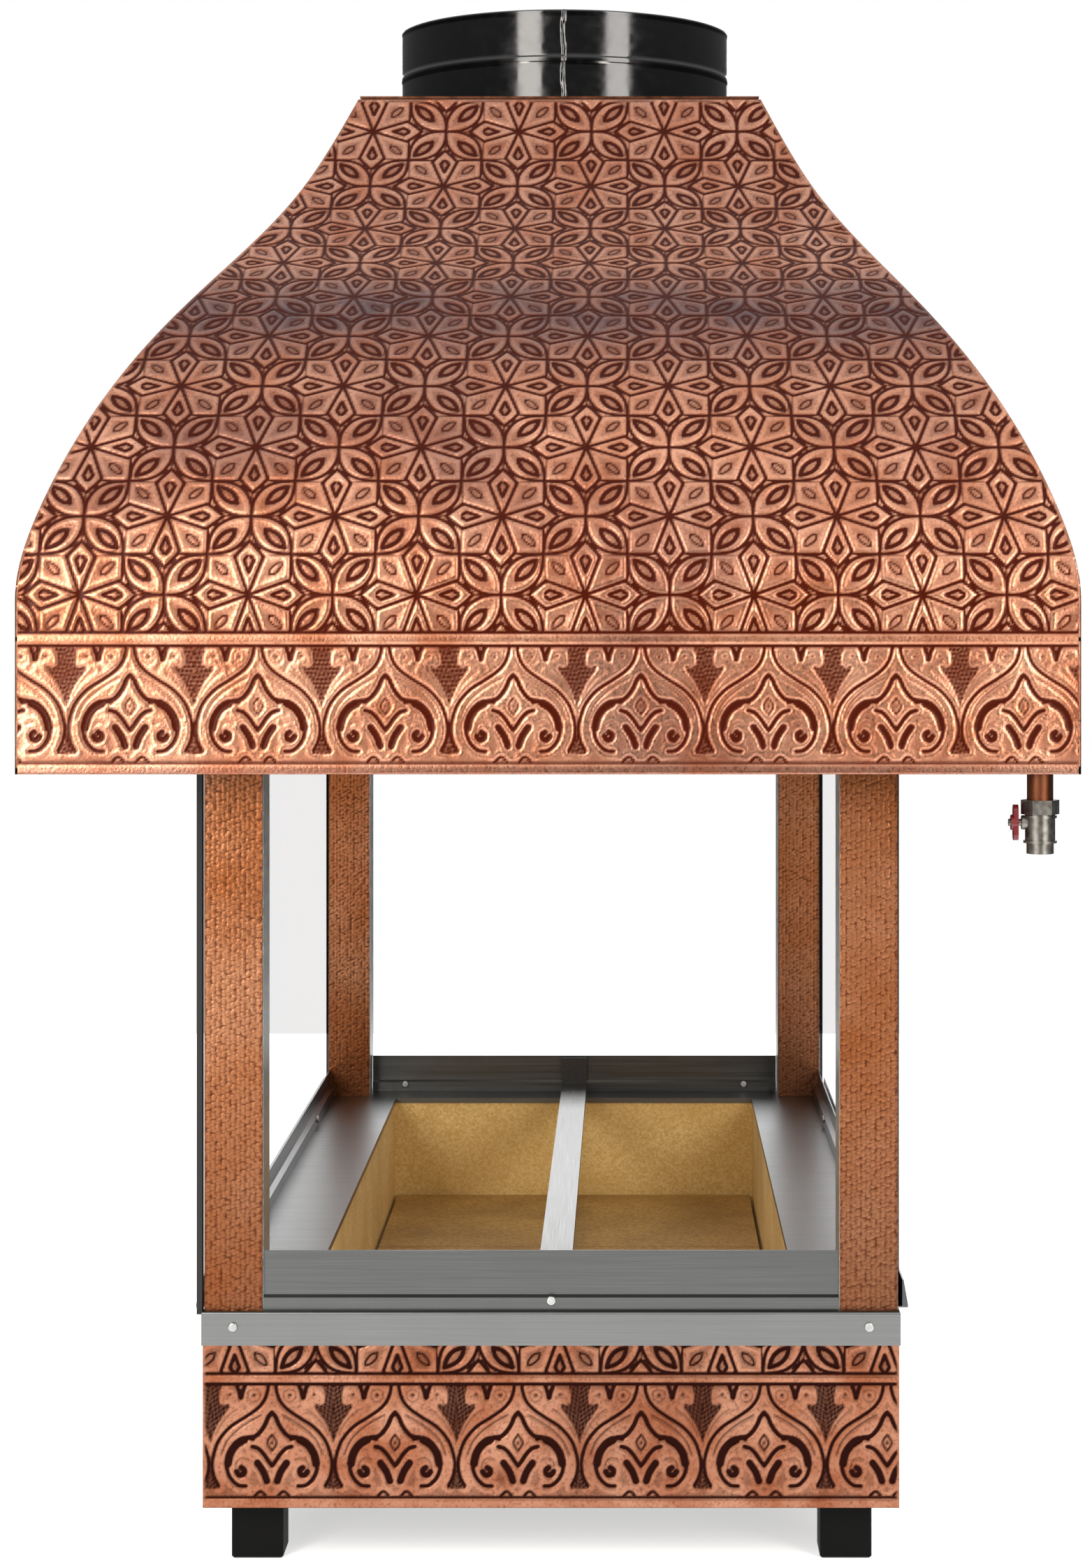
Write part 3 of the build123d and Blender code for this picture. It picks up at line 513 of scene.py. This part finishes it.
def archMotif():
    # one ogee arch of the band with a palmette and two scrolls under it; half is drawn and mirrored
    width, height = ornament["archWidth"], ornament["bandHeight"]
    half = width / 2
    x, y = np.meshgrid(np.arange(-half, half, ornament["raster"]), np.arange(0, height, ornament["raster"]))
    x = np.abs(x)
    w = ornament["archLine"] * ornament["lineWidth"]
    # points from the middle of the arch's foot, half width of the line and its depth as a share
    lines = [
        # outline of the arch, from the finial down to the foot
        ([(3.2, 97), (4, 91), (7, 83), (13, 76), (23, 69), (36, 60.5), (45.5, 49.5), (50, 38), (51.6, 28), (50, 18),
          (46, 10)], w * 0.75, 1.0),
        # strands combed along the arch
        ([(9, 71), (20, 65), (31, 57), (39, 48), (43.6, 37)], w * 0.42, 0.75),
        # inner edge of the arch, thick at the shoulder and thin at the curl
        ([(0, 73), (3.2, 69), (6, 62.5), (10, 56.5), (14.5, 52.5), (21, 51.5)], w * 0.95, 1.0),
        ([(16, 50), (25, 51), (33, 45.5), (38, 36), (39, 26), (36, 17), (29.5, 10.5), (22.5, 9.5)], w * 0.85, 1.0),
        ([(24, 49.5), (31, 45), (36, 37.5), (38, 29)], w * 1.7, 1.0),
        # palmette
        ([(17, 43.5), (12, 42), (7, 37), (3, 31), (0, 27)], w * 0.9, 1.0),
        ([(0, 54), (4, 47), (0, 40)], w * 0.5, 0.9),
        ([(0, 47.6), (0, 46.4)], w * 0.6, 0.8),
        # slits and eyes of the scrolls
        ([(4.5, 14), (7.5, 22), (12.5, 29.5)], w * 1.5, 1.0),
        ([(30.5, 22), (28, 19), (24.5, 20), (24, 23.5), (26.5, 25.5)], w * 1.2, 1.0),
        ([(31.5, 25), (30, 31), (25.5, 34), (20, 32.5)], w * 0.4, 0.6),
        ([(15, 1), (10, 5), (5.5, 1.5)], w * 0.7, 0.9),
        # round flowers beside the finial and on the bird's head
        ([(15, 93.5), (20, 91), (20, 85.5), (15.5, 82.5), (10.8, 85), (10.4, 90.5), (15, 93.5)], w * 0.3, 0.6),
        ([(15.2, 88), (15.6, 88)], w * 0.8, 0.8),
        ([(36, 88.5), (36.4, 88.5)], w * 0.7, 0.8),
        ([(31, 83), (35, 88), (41, 87), (41.5, 81)], w * 0.3, 0.4),
        ([(30, 76), (36, 72), (43, 64), (48.5, 54)], w * 0.4, 0.55),
    ]
    depth = np.zeros(x.shape)
    nearest = np.full(x.shape, 50.0)
    for points, lineWidth, strength in lines:
        distance = lineDistance(x, y, smoothLine(points))
        depth = np.maximum(depth, strength * cut(distance, lineWidth))
        nearest = np.minimum(nearest, distance)
    # sunk and stippled ground between the arches, at the top and at the foot
    recesses = [
        [(half, 47), (50.5, 55), (46.5, 64), (41, 72), (37, 77.5), (37.5, 80.5), (42, 79), (45.5, 81), (45.8, 88),
         (43.5, 97), (half, 97)],
        [(half, 24), (51.4, 18), (48, 12), (45.5, 8), (half, 8)],
    ]
    # two slits that meet, between the round flower and the bird's head
    for notch in ([(23, 97), (25.2, 91), (26.4, 85.5)], [(30.6, 97), (28.4, 91), (27.2, 85.5)]):
        depth = np.maximum(depth, cut(lineDistance(x, y, smoothLine(notch)), w * 0.9))
    depth = np.maximum(depth, sunkField(nearest))
    beyond = half + 7    # outside the arch's own width
    for outline in recesses:
        closed = outline + [(beyond, outline[-1][1]), (beyond, outline[0][1])]
        rim = lineDistance(x, y, outline)
        stipple = 0.72 + 0.22 * np.sin(2.6 * x + 1.3 * y) * np.sin(2.9 * y - 0.8 * x)
        depth = np.maximum(depth, np.where(insideOutline(x, y, closed), stipple, cut(rim, 0.2)))
    return depth


def sample(cell, across, up):
    # reads a repeating cell, blending between its points
    rows, columns = cell.shape
    column = across / ornament["raster"] % columns
    row = up / ornament["raster"] % rows
    c0, r0 = np.floor(column).astype(int) % columns, np.floor(row).astype(int) % rows
    c1, r1 = (c0 + 1) % columns, (r0 + 1) % rows
    fc, fr = column - np.floor(column), row - np.floor(row)
    return ((cell[r0, c0] * (1 - fc) + cell[r0, c1] * fc) * (1 - fr)
            + (cell[r1, c0] * (1 - fc) + cell[r1, c1] * fc) * fr)


starCell = latticeCell(False)
flowerCell = latticeCell(True)
arch = archMotif()


def lattice(across, up):
    # across and up are measured from the middle of a star
    size = ornament["cell"]
    column = np.floor(across / size + 0.5)
    row = np.floor(up / size + 0.5)
    star = sample(starCell, across + size / 2, up + size / 2)
    flower = sample(flowerCell, across + size / 2, up + size / 2)
    return np.where((column + row) % 2 == 0, star, flower)


def archBand(across, up):
    # across from the middle of an arch, up from the band's lower edge
    return sample(arch, across + ornament["archWidth"] / 2, np.clip(up, 0, ornament["bandHeight"] - 1))


def pressedDepth(across, up, band):
    # up is measured along the sheet from its lower edge
    lower, upper, rail = band["lower"], band["upper"], band["rail"]
    arches = archBand(across - band["archShift"], up - lower)
    depth = np.where((up > lower) & (up < upper), arches, 0.0)
    above = lattice(across - band["latticeShift"], up - band["firstRow"])
    depth = np.where(up > band["latticeFrom"], above, depth)
    for line, width in ((lower, band["trimWidth"]), (upper, band["railWidth"]), (rail, band["railWidth"])):
        depth = np.maximum(depth, cut(np.abs(up - line), width))
    return depth


print("ornament ready")


# in mm, and each darkening as a share
hood = {
    "skirtTop": 832.0,    # the straight skirt ends here
    # points of the two profiles, as (in from the skirt, up from the skirt's top), and their slope at the top
    "sideHollows": [(13.5, 70.0), (55.6, 168.0), (142.7, 303.0), (201.9, 392.0)],
    "sideTopSlope": 0.5,
    "endHollows": [(38.0, 100.0), (123.0, 206.0), (283.0, 315.0), (384.0, 393.0)],
    "endTopSlope": 0.42,
    "frontGrid": 1.75,    # fits the lattice a whole number of times
    "rearGrid": 2.1875,
    "sideGrid": 2.5,
    "darkReflectionAt": 470.0,    # up the sheet, where the painted dark reflection is darkest
    "darkReflectionSpread": 92.0,
    "darkReflectionStrength": 0.9,
    "neckFrom": 560.0,
    "neckSpan": 80.0,
    "neckDarkening": 0.3,
    "trimHeight": 7.0,    # painted shade along the lower edge
    "trimShade": 0.55,
    "allOverAge": 0.05,
}


def hoodCurve(half, topHalf, hollows, slope, bottom, top):
    # the hood's profile as (distance out, height), by arc length: straight skirt, then a smooth spline
    skirtTop = hood["skirtTop"]
    stepsPerPiece = 60
    points = [(half, skirtTop)] + [(half - i, skirtTop + r) for i, r in hollows] + [(topHalf, top)]
    points = np.array(points)
    chord = np.concatenate([[0], np.cumsum(np.hypot(*np.diff(points, axis=0).T))])
    count = len(points)
    firstSlope = np.array((0.0, 1.0))
    lastSlope = np.array((-slope, 1.0)) / math.hypot(slope, 1)
    matrix = np.zeros((count, count))
    right = np.zeros((count, 2))
    matrix[0, 0] = matrix[-1, -1] = 1
    right[0], right[-1] = firstSlope, lastSlope
    step = np.diff(chord)
    for i in range(1, count - 1):
        matrix[i, i - 1] = step[i]
        matrix[i, i] = 2 * (step[i] + step[i - 1])
        matrix[i, i + 1] = step[i - 1]
        right[i] = 3 * (step[i - 1] / step[i] * (points[i + 1] - points[i])
                        + step[i] / step[i - 1] * (points[i] - points[i - 1]))
    slopes = np.linalg.solve(matrix, right)
    curve = [np.array((half, bottom))]
    for i in range(count - 1):
        for t in np.linspace(0, 1, stepsPerPiece, endpoint=False):
            curve.append((1 + 2 * t) * (1 - t) ** 2 * points[i] + t * (1 - t) ** 2 * step[i] * slopes[i]
                         + t * t * (3 - 2 * t) * points[i + 1] + t * t * (t - 1) * step[i] * slopes[i + 1])
    curve.append(points[-1])
    return np.array(curve)


def evenly(curve, spacing):
    length = np.concatenate([[0], np.cumsum(np.hypot(*np.diff(curve, axis=0).T))])
    count = int(length[-1] / spacing) + 1
    along = np.linspace(0, length[-1], count)
    out = np.interp(along, length, curve[:, 0])
    up = np.interp(along, length, curve[:, 1])
    return along, out, up


def columnPlaces(widest, step, middle):
    # columns are step apart and line up with the ornament at the middle, and the outer ones are the sheet's edges
    clear = 0.3    # no other column falls nearer than this to an edge
    count = int(widest / step)
    places = np.arange(-count - 1, count + 2) * step + (middle + widest) % step
    inner = places[(places > -widest + clear) & (places < widest - clear)]
    return np.concatenate([[-widest], inner, [widest]])


def edgeRing(across, half):
    # numbers of the points round a sheet that tapers: lower edge, one side, upper edge, other side
    rows, columns = across.shape
    nearly = 1e-9
    firstInside = np.argmax(across > -half[:, None] + nearly, axis=1) - 1
    lastInside = columns - np.argmax((across < half[:, None] - nearly)[:, ::-1], axis=1)
    return np.concatenate([
        np.arange(columns), columns * np.arange(1, rows - 1) + lastInside[1:-1],
        columns * (rows - 1) + np.arange(columns - 1, -1, -1), (columns * np.arange(rows) + firstInside)[-2:0:-1]])


def sheetRelief(node, curve, halfAt, step, side, band, tarnishAndShadeOf, material):
    # a sheet that curves in one direction. side is (axis, sign): which way it faces.
    along, out, up = curve
    axis, sign = side
    half = halfAt(up)
    columnAt = columnPlaces(half.max(), step, band["latticeShift"] * -sign if axis == 1 else 0.0)
    rows, columns = len(along), len(columnAt)
    across = np.clip(columnAt[None, :], -half[:, None], half[:, None])
    alongGrid = np.repeat(along[:, None], columns, axis=1)
    depth = pressedDepth(across if sign < 0 else -across, alongGrid, band)
    fromEdge = np.minimum(half[:, None] - np.abs(across), np.minimum(alongGrid, along[-1] - alongGrid))
    depth = depth * np.clip(fromEdge / ornament["edgeFade"], 0, 1)
    # each point sinks square to the sheet
    outSlope, upSlope = np.gradient(out, along), np.gradient(up, along)
    length = np.hypot(outSlope, upSlope)
    normalOut, normalUp = (upSlope / length)[:, None], (-outSlope / length)[:, None]
    sunk = depth * band["sink"]
    points = np.zeros((rows, columns, 3))
    points[:, :, 1 - axis] = across
    points[:, :, axis] = sign * (out[:, None] - normalOut * sunk)
    points[:, :, 2] = up[:, None] - normalUp * sunk
    points = points.reshape(-1, 3)
    quads = gridQuads(rows, columns)
    used = np.ptp(across.ravel()[quads], axis=1) > 1e-6    # not those that the taper closes up
    # the fold round the edge, back into the sheet's thickness
    border = edgeRing(across, half)
    back = points[border].copy()
    back[:, axis] -= sign * ornament["fold"] * normalOut[border // columns, 0]
    back[:, 2] -= ornament["fold"] * normalUp[border // columns, 0]
    ring = np.arange(len(border))
    nextRing = (ring + 1) % len(border)
    strip = np.stack([border[nextRing], border[ring], len(points) + ring, len(points) + nextRing], axis=-1)
    quads = np.concatenate([quads[used], strip])
    if (axis == 1 and sign > 0) or (axis == 0 and sign < 0):
        quads = quads[:, ::-1]
    # the turned-in fold gets painted shade through the same dark colour as the lines
    grooveAndShade = np.concatenate([depth.ravel(), np.full(len(border), ornament["foldShade"])])
    tarnishAndShade = tarnishAndShadeOf(alongGrid).ravel()
    tarnishAndShade = np.concatenate([tarnishAndShade, tarnishAndShade[border]])
    piece = makeObject(node + "_pressed", np.concatenate([points, back]), quads, material,
                       {"grooveAndShade": grooveAndShade, "tarnishAndShade": tarnishAndShade})
    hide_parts(node)


def hoodTarnishAndShade(along):
    # painted dark reflection at mid height, a darkening towards the neck, painted shade along the lower edge, and a
    # little tarnish all over
    darkReflection = hood["darkReflectionStrength"] * np.exp(-((along - hood["darkReflectionAt"]) / hood["darkReflectionSpread"]) ** 2)
    neck = hood["neckDarkening"] * np.clip((along - hood["neckFrom"]) / hood["neckSpan"], 0, 1)
    lowerEdgeShade = hood["trimShade"] * np.exp(-(along / hood["trimHeight"]) ** 2)
    return darkReflection + neck + lowerEdgeShade + hood["allOverAge"]


def makeHood():
    low, high = boxMm("hood_front")
    halfX, bottom, sheetTop = high[0], low[2], high[2]
    halfY = boxMm("hood_rear")[1][1]
    topX, topY, top = boxMm("hood_top_plate")[1]
    sideCurve = hoodCurve(halfX, topX, hood["sideHollows"], hood["sideTopSlope"], bottom, top)
    endCurve = hoodCurve(halfY, topY, hood["endHollows"], hood["endTopSlope"], bottom, top)
    sideCurve = sideCurve[sideCurve[:, 1] <= sheetTop]
    endCurve = endCurve[endCurve[:, 1] <= sheetTop]

    def sideHalf(up):
        return np.interp(up, sideCurve[:, 1], sideCurve[:, 0])

    def endHalf(up):
        return np.interp(up, endCurve[:, 1], endCurve[:, 0])

    sheets = (
        ("hood_front", endCurve, sideHalf, "frontGrid", (1, -1)),
        ("hood_rear", endCurve, sideHalf, "rearGrid", (1, 1)),
        ("hood_left", sideCurve, endHalf, "sideGrid", (0, -1)),
        ("hood_right", sideCurve, endHalf, "sideGrid", (0, 1)))
    for node, curve, halfAt, grid, side in sheets:
        step = hood[grid]
        sheetRelief(node, evenly(curve, step), halfAt, step, side, hoodBand, hoodTarnishAndShade, hoodCopper)


makeHood()
print("hood ready")


# in mm, and the age as a share
basePanels = {"frontGrid": 1.4, "grid": 2.2, "darkening": 0.08}


def makeBasePanels():
    for name, axis, sign in (("front", 1, -1), ("rear", 1, 1), ("left", 0, -1), ("right", 0, 1)):
        low, high = boxMm("base_panel_" + name)
        bottom, top, half = low[2], high[2], high[1 - axis]
        out = high[axis] if sign > 0 else -low[axis]
        step = basePanels["frontGrid" if name == "front" else "grid"]
        along = np.linspace(0, top - bottom, int((top - bottom) / step) + 1)
        curve = (along, np.full(len(along), out), bottom + along)

        def halfAt(up, half=half):
            return np.full(np.shape(up), half)

        def tarnishAndShadeOf(along):
            return np.full(np.shape(along), basePanels["darkening"])

        sheetRelief("base_panel_" + name, curve, halfAt, step, (axis, sign), baseBand, tarnishAndShadeOf, baseCopper)


makeBasePanels()
print("base ready")


# in mm, and shares of one dent's size or of full darkness
posts = {
    "frontGrid": 1.3, "rearGrid": 1.9, "cornerRadius": 0.8, "cornerFade": 2.5, "cornerSteps": 4,
    "dimple": 4.3, "dimpleDepth": 0.6, "squash": 0.72, "jitter": 0.2, "reach": 0.64, "seed": 11,
    "netShade": 0.85, "lineFrom": 0.08,
    "topShade": 0.9, "topShadeHeight": 70.0, "footShade": 0.6, "footShadeHeight": 220.0,
}


def hammerMarks(u, v, seed):
    # hammered bosses, 1 in the middle of each and 0 between them
    size = posts["dimple"]
    dice = np.random.default_rng(seed)
    jitter = dice.uniform(-posts["jitter"], posts["jitter"], (64, 256, 2))
    # each column starts half a step above the last, and each boss is wider than it is high
    v = v / posts["squash"]
    column, row = np.floor(u / size).astype(int), np.floor(v / size).astype(int)
    boss = np.zeros(u.shape)
    for dc in (-1, 0, 1):
        for dr in (-1, 0, 1):
            c, r = column + dc, row + dr
            offset = jitter[c % 64, r % 256]
            distance = np.hypot(u - (c + 0.5 + offset[..., 0]) * size,
                                v - (r + 0.5 * (c % 2) + offset[..., 1]) * size)
            boss = np.maximum(boss, 1 - (distance / (posts["reach"] * size)) ** 2)
    return np.clip(boss, 0, 1)


def roundedSquare(halfX, halfY, radius, steps):
    outline = []
    for cx, cy, start in ((1, -1, -90), (1, 1, 0), (-1, 1, 90), (-1, -1, 180)):
        for step in range(steps + 1):
            angle = math.radians(start + 90 * step / steps)
            outline.append((cx * (halfX - radius) + radius * math.cos(angle),
                            cy * (halfY - radius) + radius * math.sin(angle)))
    return np.array(outline + outline[:1])


def makePost(end, side, seed):
    node = "post_cladding_%s_%s" % (end, side)
    low, high = boxMm(node)
    bottom, top = low[2], high[2]
    centre = (low + high) / 2
    halfX, halfY = (high - low)[:2] / 2
    outline = roundedSquare(halfX, halfY, posts["cornerRadius"], posts["cornerSteps"])
    length = np.concatenate([[0], np.cumsum(np.hypot(*np.diff(outline, axis=0).T))])
    grid = posts[end + "Grid"]
    columns = int(length[-1] / grid)
    rows = int((top - bottom) / grid)
    around = np.linspace(0, length[-1], columns + 1)
    x, y = np.interp(around, length, outline[:, 0]), np.interp(around, length, outline[:, 1])
    u, v = np.meshgrid(around, np.linspace(bottom, top, rows))
    marks = hammerMarks(u, v, seed)
    marks[:, -1] = marks[:, 0]
    corner = np.minimum.reduce([np.abs(u - c) for c in length[::posts["cornerSteps"] + 1]])
    sunk = (1 - marks) * posts["dimpleDepth"] * np.clip(corner / posts["cornerFade"], 0, 1)
    points = np.stack([
        centre[0] + x[None, :] * (1 - sunk / halfX), centre[1] + y[None, :] * (1 - sunk / halfY), v], axis=-1)
    # painted shade: darker at the top, under the hood, and low down towards the foot
    topHeight, footHeight = posts["topShadeHeight"], posts["footShadeHeight"]
    tarnishAndShade = np.clip((v - (top - topHeight)) / topHeight, 0, 1) * posts["topShade"]
    tarnishAndShade += np.clip((bottom + footHeight - v) / footHeight, 0, 1) * posts["footShade"]
    # painted shade in the net between the bosses
    grooveAndShade = np.clip((1 - marks) * posts["netShade"] - posts["lineFrom"], 0, 1)
    piece = makeObject(node + "_hammered", points.reshape(-1, 3), gridQuads(rows, columns + 1), hammeredCopper,
                       {"grooveAndShade": grooveAndShade, "tarnishAndShade": tarnishAndShade})
    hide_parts(node)


corners = [(end, side) for end in ("front", "rear") for side in ("left", "right")]
for count, (end, side) in enumerate(corners):
    makePost(end, side, posts["seed"] + count)
print("posts ready")


# in mm
collar = {
    "radius": 172.0, "wall": 2.0, "flange": 186.0, "segments": 220, "beadAt": 1368.0, "beadRise": 0.3,
    "beadHeight": 2.6, "beadSteps": 8, "seamX": 2.0, "seamReach": 5.0, "seamColumns": 15, "seamWidth": 1.6,
    "seed": 3,
}


def collarProfile(bottom, top):
    # (radius, height) round the section: flange, outer wall with its bead, rolled rim, inner wall
    radius, flange, bead = collar["radius"], collar["flange"], collar["beadAt"]
    inner, outer = radius - collar["wall"], radius - 0.4
    profile = [(inner, bottom), (flange, bottom), (flange, bottom + 1.2), (flange - 0.8, bottom + 2),
               (radius + 3, bottom + 2.1), (radius + 0.6, bottom + 3.4), (radius - 0.3, bottom + 8)]
    profile += [(outer, z) for z in np.linspace(bottom + 12, bead - 6, 12)]
    for step in range(collar["beadSteps"] + 1):
        angle = math.radians(-90 + 180 * step / collar["beadSteps"])
        rise, height = collar["beadRise"] * math.cos(angle), collar["beadHeight"] * math.sin(angle)
        profile.append((outer + rise, bead + height))
    profile += [(outer, z) for z in np.linspace(bead + 6, top - 3, 12)]
    profile += [(radius, top - 1.5), (outer, top - 0.3), (radius - 1.0, top), (inner, top - 0.5),
                (inner, bead), (inner, bottom)]
    return np.array(profile)


def makeCollar():
    low, high = boxMm("flue_collar")
    bottom, top = low[2], high[2]
    radius = collar["radius"]
    profile = collarProfile(bottom, top)
    # closer columns at the front, where the sheet is welded shut
    seamAt = collar["seamX"] / radius - math.pi / 2
    reach = collar["seamReach"]
    angles = np.linspace(0, 2 * math.pi, collar["segments"] + 1) - math.pi / 2
    angles = np.sort(np.concatenate([angles, seamAt + np.linspace(-reach, reach, collar["seamColumns"]) / radius]))
    r = np.repeat(profile[:, :1], len(angles), axis=1)
    z = np.repeat(profile[:, 1:], len(angles), axis=1)
    # the weld is an uneven ridge that wanders a little
    dice = np.random.default_rng(collar["seed"])
    fromSeam = (angles - seamAt)[None, :] * radius
    outside = (r > radius - 1.2) & (z > bottom + 4)
    wander = 0.8 * np.sin(z / 7.0) + dice.uniform(-0.4, 0.4, (len(profile), 1))
    ridge = np.exp(-((fromSeam - wander) / collar["seamWidth"]) ** 2) * dice.uniform(0.5, 1.3, z.shape)
    r = r + np.where(outside, ridge, 0)
    points = np.stack([r * np.cos(angles)[None, :], r * np.sin(angles)[None, :], z], axis=-1)
    quads = gridQuads(len(profile), len(angles))[:, ::-1]
    piece = makeObject("flue_collar_welded", points.reshape(-1, 3), quads, blackEnamel, {})
    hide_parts("flue_collar")


makeCollar()
print("collar ready")


# start of the node's name: (material, width of its softened edges in mm)
finishes = {
    "foot_front": (blackFeet, 1.2), "foot_rear": (blackFeet, 1.2), "foot_bolts": (zincSteel, 0),
    "base_floor": (darkSteel, 0), "base_frame": (darkSteel, 0),
    "hearth_top": (hearthSteel, 0.5), "hearth_screws": (zincSteel, 0.2),
    "firebox_pan": (darkSteel, 0), "fireboard": (fireBoard, 0.8), "floor_tiles": (fireFloor, 0.8),
    "divider_bar": (barSteel, 0.8),
    "apron_front": (stainless, 0.4), "apron_rear": (stainless, 0.4), "apron_left": (stainlessSide, 0.4),
    "apron_right": (stainlessSide, 0.4), "apron_screws": (zincSteel, 0.2),
    "post_tube": (zincSteel, 0), "post_bolts": (zincSteel, 0),
    "glass_left": (temperedGlass, 0.4), "glass_right": (temperedGlass, 0.4), "glass_seals": (sealRubber, 0),
    "glass_rail_left": (stainlessSide, 0.3), "glass_rail_right": (stainlessSide, 0.3),
    "glass_rail_screws": (zincSteel, 0), "glass_clips": (zincSteel, 0),
    "hood_frame": (darkSteel, 0), "hood_gutter": (copperPipe, 0), "hood_top_plate": (copperPipe, 0),
    "flue_rivets": (blackEnamel, 0), "drain_pipe": (copperPipe, 0),
    "valve_body": (nickel, 0.5), "valve_seats": (seatPlastic, 0), "valve_ball": (nickel, 0),
    "valve_stem": (nickel, 0), "valve_lever": (redGrip, 0.9),
}
bevelAngle = 40


def finishNode(piece, material, edge):
    if not piece.material_slots:
        piece.data.materials.append(None)
    for holder in piece.material_slots:
        holder.link = "OBJECT"
        holder.material = material
    if edge:
        bevel = piece.modifiers.new("softEdge", "BEVEL")
        bevel.width = edge * mm
        bevel.segments = 2
        bevel.limit_method = "ANGLE"
        bevel.angle_limit = math.radians(bevelAngle)


for name, piece in nodes.items():
    for start, (material, edge) in finishes.items():
        if name.startswith(start):
            finishNode(piece, material, edge)
print("finishes ready")
